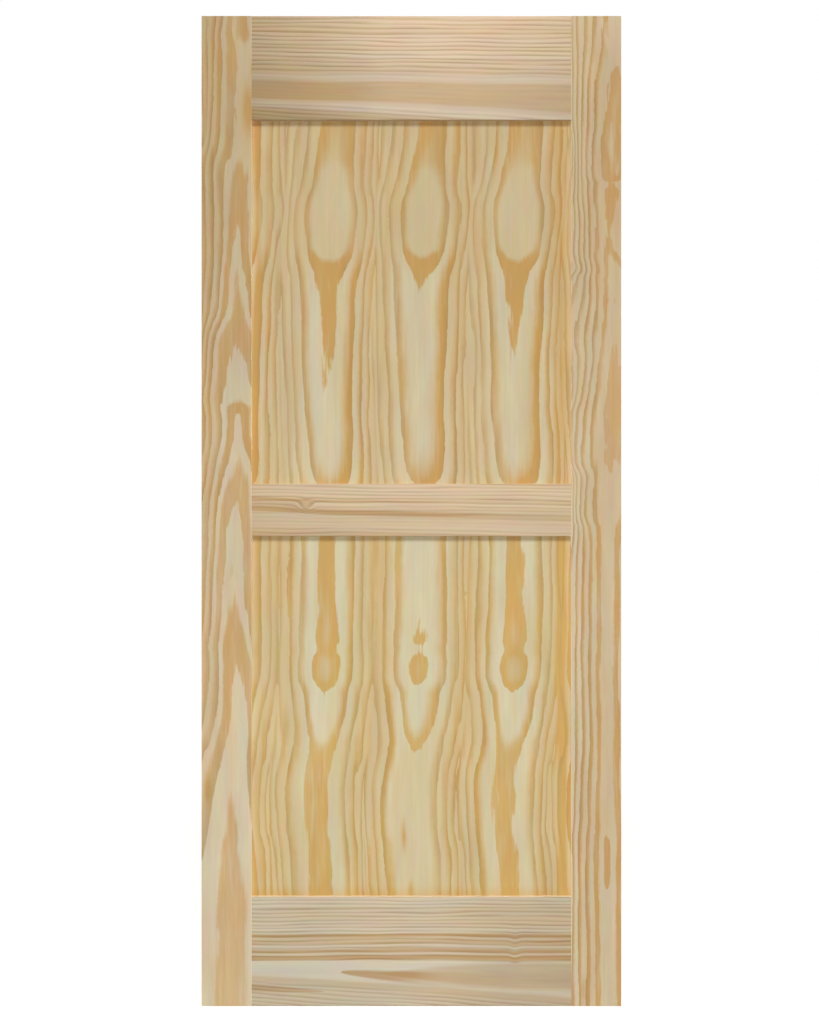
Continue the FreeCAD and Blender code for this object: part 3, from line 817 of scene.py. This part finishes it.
def banded_rail(name, figure, top, pale, dark, facing):
    """Pine rail face whose bands run level, turned round where facing is -1, on the door's back."""
    material, graph = new_material(name)
    height, depth, along = graph.grain_space(upright=False)
    grain = graph.join(height, depth, along)
    run = graph.times(along, facing)
    below = graph.minus(top / MM, height)
    drop = graph.times(graph.times(run, MM), graph.profile(below, figure.slope))
    if figure.dip:
        drop = graph.add_share(drop, graph.nearness(figure.dip, run, below), figure.dip.depth)
    wave = graph.sway(grain, 90, 260, 3.0)
    place = graph.plus(graph.minus(below, drop), wave)
    tone = graph.plus(graph.profile(place, figure.bands), graph.profile(run, figure.stain))
    ring = graph.plus(graph.over(place, figure.line_pitch), graph.sway(grain, 25, 200, 0.4))
    lines = graph.group("Ring tone", ring=ring, start=0.3, full=0.85)["Tone"]
    fade = graph.plus(graph.sway(grain, 16, 160, 0.5), 0.6, clamp=True)
    lines = graph.times(graph.times(lines, fade), graph.profile(place, figure.lines))
    tone = graph.plus(tone, lines)
    for flame in figure.flames:
        tone = graph.plus(tone, flame_tone(graph, flame, run, graph.plus(below, wave)))
    # On the top rail, light and fall also carry painted light falloff.
    light = graph.times(graph.profile(run, figure.light), graph.profile(below, figure.fall))
    dress(graph, grain, tone, pale, dark, graph.minus(light, lines))
    return material


def flame_tone(graph, flame, run, place):
    """Dark flame that starts at a point and widens and fades along the grain."""
    share = graph.span(run, flame.across, flame.across + flame.length)
    middle = graph.add_share(flame.below, share, flame.length * flame.slope)
    half = graph.times(graph.math("POWER", share, flame.taper), flame.width)
    off = graph.math("ABSOLUTE", graph.minus(place, middle))
    off = graph.over(off, graph.math("MAXIMUM", half, 0.01))
    body = graph.span(off, 0.55, 1.15, 1.0, 0.0, smooth=True)
    return graph.times(body, graph.span(share, 0.3, 1.0, flame.tone, flame.end_tone, smooth=True))


def solid_pine(name, pale, dark, upright, pith, ring_width, stave=None):
    """Pine that is sawn from the log, so its rings show as lines along it and as arcs on its ends."""
    material, graph = new_material(name)
    across, depth, along = graph.grain_space(upright)
    grain = graph.join(across, depth, along)
    aside = graph.minus(across, pith[0])
    behind = graph.minus(depth, pith[1])
    if stave:
        number = graph.math("FLOOR", graph.over(across, stave))
        flip = graph.minus(graph.math("FLOORED_MODULO", number, 2.0), 0.5)
        aside = graph.add_share(graph.math("FLOORED_MODULO", across, stave), number, STAVE_SHIFT)
        behind = graph.add_share(depth, flip, 2.0 * pith[1])
    far = graph.math("SQRT", graph.add_share(graph.times(behind, behind), aside, aside))
    ring = graph.over(graph.plus(far, graph.sway(grain, 30, 320, 1.6)), ring_width)
    tone = graph.group("Ring tone", ring=ring, start=0.35, full=0.9)["Tone"]
    dress(graph, grain, graph.add_share(0.12, tone, 0.75), pale, dark)
    return material


def pressed_fibre(name, pale, dark):
    """Fibreboard: short pressed fibres with no direction."""
    material, graph = new_material(name)
    grain = graph.join(*graph.grain_space(upright=True))
    chips = graph.plus(graph.sway(grain, 1.2, 1.2, 0.4, 3.0, deep=0.5), 0.5)
    clumps = graph.sway(grain, 14, 14, 0.15, deep=6)
    dress(graph, grain, graph.plus(chips, clumps), pale, dark, relief=BOARD_RELIEF)
    return material


def colour(name):
    """One of the door's colours, as a shader takes it."""
    return (*getattr(bpy.context.scene.barn_door_colours, name), 1.0)


def woods(piece):
    """The pale and the dark colour of a piece's wood."""
    return colour(f"{piece}_pale"), colour(f"{piece}_dark")


def paint(node, material):
    """Gives a node of the frame its finish."""
    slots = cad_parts[node].material_slots
    if not slots:
        raise RuntimeError(f"{node} has no material slot")
    for slot in slots:
        slot.material = material


def model_face(node, side, upright, material):
    """Face of a stile or rail, with its two long arrises rounded over. It stands for the flat-cut one."""
    sizes = bpy.context.scene.barn_door_sizes
    low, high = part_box(node)
    bpy.ops.object.select_all(action="DESELECT")
    bpy.ops.mesh.primitive_cube_add(size=1.0, location=(low + high) / 2, scale=high - low)
    bpy.ops.object.transform_apply(location=True, rotation=True, scale=True)
    face = bpy.context.object
    face.name = node.replace("veneer", "face")
    face.data.name = face.name
    outer = low.y if side == "front" else high.y
    length = 2 if upright else 0
    bpy.context.tool_settings.mesh_select_mode = (False, True, False)
    bpy.ops.object.mode_set(mode="EDIT")
    bpy.ops.mesh.select_all(action="DESELECT")
    bpy.ops.object.mode_set(mode="OBJECT")
    points = face.data.vertices
    for edge in face.data.edges:
        first, second = (points[i].co for i in edge.vertices)
        on_face = max(abs(first.y - outer), abs(second.y - outer)) < 0.1 * MM
        edge.select = on_face and abs(first[length] - second[length]) > sizes.arris
    bpy.ops.object.mode_set(mode="EDIT")
    bpy.ops.mesh.bevel(offset=sizes.arris, segments=sizes.arris_steps, profile=0.5, affect="EDGES")
    bpy.ops.object.mode_set(mode="OBJECT")
    bpy.ops.object.shade_smooth_by_angle(angle=SMOOTH_ANGLE)
    face.data.materials.append(material)
    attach(face, BODY)
    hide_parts(node)


class BARN_DOOR_OT_veneer_panels(bpy.types.Operator):
    """Veneer both panels, in front and behind"""

    bl_idname = "barn_door.veneer_panels"
    bl_label = "Veneer the panels"

    def execute(self, context):
        heart = colour("panel_heart")
        for panel, behind, above, under in zip(PANELS, reversed(PANELS), RAILS, RAILS[1:]):
            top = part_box(f"{above}_front_veneer")[0].z
            # Where the painted shade at the bottom of the lower panel lies, in millimetres below the panel's
            # top.
            shaded_foot = None
            if panel == "lower_panel":
                shaded_foot = (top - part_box(f"{under}_front_veneer")[1].z) / MM
            pale, dark = woods(panel)
            for (side, facing), source in zip(FACINGS.items(), (panel, behind)):
                node = f"{panel}_{side}_veneer"
                paint(node, figured_sheet(node, FIGURES[source], top, pale, dark, heart, facing, shaded_foot))
            paint(f"{panel}_core", pressed_fibre(f"{panel}_core", *woods("board")))
        return {"FINISHED"}


class BARN_DOOR_OT_face_stiles(bpy.types.Operator):
    """Model and finish the faces of both stiles"""

    bl_idname = "barn_door.face_stiles"
    bl_label = "Face the stiles"

    def execute(self, context):
        pale, dark = woods("stile")
        heart = colour("stile_heart")
        for stile, behind in zip(STILES, reversed(STILES)):
            for (side, facing), source in zip(FACINGS.items(), (stile, behind)):
                node = f"{stile}_{side}_veneer"
                material = figured_sheet(node, FIGURES[source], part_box(node)[1].z, pale, dark, heart, facing)
                model_face(node, side, True, material)
        return {"FINISHED"}


class BARN_DOOR_OT_face_rails(bpy.types.Operator):
    """Model and finish the faces of the three rails"""

    bl_idname = "barn_door.face_rails"
    bl_label = "Face the rails"

    def execute(self, context):
        for rail in RAILS:
            pale, dark = woods(rail)
            for side, facing in FACINGS.items():
                node = f"{rail}_{side}_veneer"
                material = banded_rail(node, FIGURES[rail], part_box(node)[1].z, pale, dark, facing)
                model_face(node, side, False, material)
        return {"FINISHED"}


class BARN_DOOR_OT_band_edges(bpy.types.Operator):
    """Finish the solid bands along the edges of the stiles and rails"""

    bl_idname = "barn_door.band_edges"
    bl_label = "Band the edges"

    def execute(self, context):
        pale, dark = woods("band")
        upright = solid_pine("stile_bands", pale, dark, True, pith=(140.0, -70.0), ring_width=3.4)
        level = solid_pine("rail_bands", pale, dark, False, pith=(95.0, 90.0), ring_width=3.8)
        for stile in STILES:
            for edge in ("inner", "outer"):
                paint(f"{stile}_{edge}_band", upright)
        for rail in RAILS:
            for edge in ("upper", "lower"):
                paint(f"{rail}_{edge}_band", level)
        return {"FINISHED"}


class BARN_DOOR_OT_fill_cores(bpy.types.Operator):
    """Finish the stave cores of the stiles and rails"""

    bl_idname = "barn_door.fill_cores"
    bl_label = "Fill the cores"

    def execute(self, context):
        pale, dark = woods("core")
        upright = solid_pine("stile_cores", pale, dark, True, pith=(0.0, 45.0), ring_width=4.2, stave=28.0)
        level = solid_pine("rail_cores", pale, dark, False, pith=(0.0, 45.0), ring_width=4.2, stave=32.0)
        for stile in STILES:
            paint(f"{stile}_core", upright)
        for rail in RAILS:
            paint(f"{rail}_core", level)
        return {"FINISHED"}


class BARN_DOOR_OT_fit_dowels(bpy.types.Operator):
    """Finish the fluted dowels in the rail ends"""

    bl_idname = "barn_door.fit_dowels"
    bl_label = "Fit the dowels"

    def execute(self, context):
        pale, dark = woods("dowel")
        wood = solid_pine("dowel_wood", pale, dark, False, pith=(60.0, 40.0), ring_width=1.8)
        for rail in RAILS:
            paint(f"{rail}_dowels", wood)
        return {"FINISHED"}


class BARN_DOOR_OT_set_stage(bpy.types.Operator):
    """Lay the floor, hang the lamps and stand the camera"""

    bl_idname = "barn_door.set_stage"
    bl_label = "Set the stage"

    def execute(self, context):
        stage = context.scene.barn_door_stage
        colours = context.scene.barn_door_colours
        lay_floor(stage)
        light_room(context.scene, stage)
        hang_lamp("top_lamp", stage.top_light, stage.lamp_height, 0.0, stage.lamp_spread, colours.top_tint)
        for name, light, turn in (
            ("front_lamp", stage.front_light, 0.0),
            ("left_lamp", stage.round_light, -math.pi / 2),
            ("right_lamp", stage.round_light, math.pi / 2),
            ("rear_lamp", stage.round_light, math.pi),
        ):
            lamp = hang_lamp(name, light, LOW_LAMP, turn, stage.lamp_spread, colours.lamp_tint)
            lamp.data.use_shadow = False
        stand_camera(context.scene, stage)
        context.scene.view_settings.view_transform = "Standard"
        return {"FINISHED"}


def lay_floor(stage):
    """A pale floor that the camera sees as white where nothing shades it."""
    bpy.ops.object.select_all(action="DESELECT")
    bpy.ops.mesh.primitive_plane_add(size=stage.floor_size, location=(0.0, 0.0, -MM))
    floor = bpy.context.object
    floor.name = "studio_floor"
    material, graph = new_material("studio_floor")
    seen = graph.add("ShaderNodeLightPath").outputs["Is Camera Ray"]
    matt = graph.add("ShaderNodeBsdfDiffuse")
    graph.feed(matt.inputs["Color"], graph.blend(seen, FLOOR_GREY, colour("floor_shade")))
    lift = graph.add("ShaderNodeEmission")
    graph.feed(lift.inputs["Strength"], graph.times(seen, FLOOR_GLOW))
    both = graph.add("ShaderNodeAddShader")
    graph.feed_all(both.inputs, matt.outputs[0], lift.outputs[0])
    graph.feed(graph.add("ShaderNodeOutputMaterial").inputs["Surface"], both.outputs[0])
    floor.data.materials.append(material)


def light_room(scene, stage):
    """Even fill light, with a white wall where the camera looks past the door."""
    world = bpy.data.worlds.new("studio")
    graph = clear_graph(world)
    path = graph.add("ShaderNodeLightPath").outputs
    mirrored = graph.math("MAXIMUM", path["Is Glossy Ray"], path["Is Transmission Ray"])
    shown = graph.math("MAXIMUM", path["Is Camera Ray"], mirrored)
    back = graph.add("ShaderNodeBackground")
    graph.feed(back.inputs["Strength"], graph.mix(shown, stage.fill, 1.0))
    graph.feed(back.inputs["Color"], graph.blend(shown, colour("fill_tint"), WHITE))
    graph.feed(graph.add("ShaderNodeOutputWorld").inputs["Surface"], back.outputs[0])
    scene.world = world


def hang_lamp(name, light, height, turn, spread, shade):
    """A soft lamp, as far off as daylight, that gives an upright face the share of light that it is told."""
    data = bpy.data.lights.new(name, "SUN")
    data.energy = light * math.pi / math.cos(height)
    data.angle = spread
    data.color = shade
    lamp = bpy.data.objects.new(name, data)
    lamp.rotation_euler = (math.pi / 2 - height, 0.0, turn)
    bpy.context.scene.collection.objects.link(lamp)
    return lamp


def stand_camera(scene, stage):
    """Camera square to the door's face."""
    data = bpy.data.cameras.new("camera")
    data.lens = stage.lens
    data.sensor_width = SENSOR_WIDTH
    camera = bpy.data.objects.new("camera", data)
    camera.location = (stage.camera_across, CAD_BOX[0].y - stage.distance, stage.camera_height)
    camera.rotation_euler = (math.pi / 2, 0.0, 0.0)
    scene.collection.objects.link(camera)
    scene.camera = camera


STEPS = (
    BARN_DOOR_OT_veneer_panels,
    BARN_DOOR_OT_face_stiles,
    BARN_DOOR_OT_face_rails,
    BARN_DOOR_OT_band_edges,
    BARN_DOOR_OT_fill_cores,
    BARN_DOOR_OT_fit_dowels,
    BARN_DOOR_OT_set_stage,
)


class BARN_DOOR_PT_steps(bpy.types.Panel):
    """Lists the steps that finish the door"""

    bl_idname = "BARN_DOOR_PT_steps"
    bl_label = "Barn door"
    bl_space_type = "VIEW_3D"
    bl_region_type = "UI"
    bl_category = "Barn door"

    def draw(self, context):
        for step in STEPS:
            self.layout.operator(step.bl_idname)


SETTINGS = {
    "barn_door_colours": BarnDoorColours,
    "barn_door_sizes": BarnDoorSizes,
    "barn_door_stage": BarnDoorStage,
}


def register():
    for group in (*SETTINGS.values(), *STEPS, BARN_DOOR_PT_steps):
        bpy.utils.register_class(group)
    for name, group in SETTINGS.items():
        setattr(bpy.types.Scene, name, bpy.props.PointerProperty(type=group))


def unregister():
    for name in SETTINGS:
        delattr(bpy.types.Scene, name)
    for group in reversed((*SETTINGS.values(), *STEPS, BARN_DOOR_PT_steps)):
        bpy.utils.unregister_class(group)


def main():
    register()
    for step in STEPS:
        module, name = step.bl_idname.split(".")
        getattr(getattr(bpy.ops, module), name)()


if __name__ == "__main__":
    main()
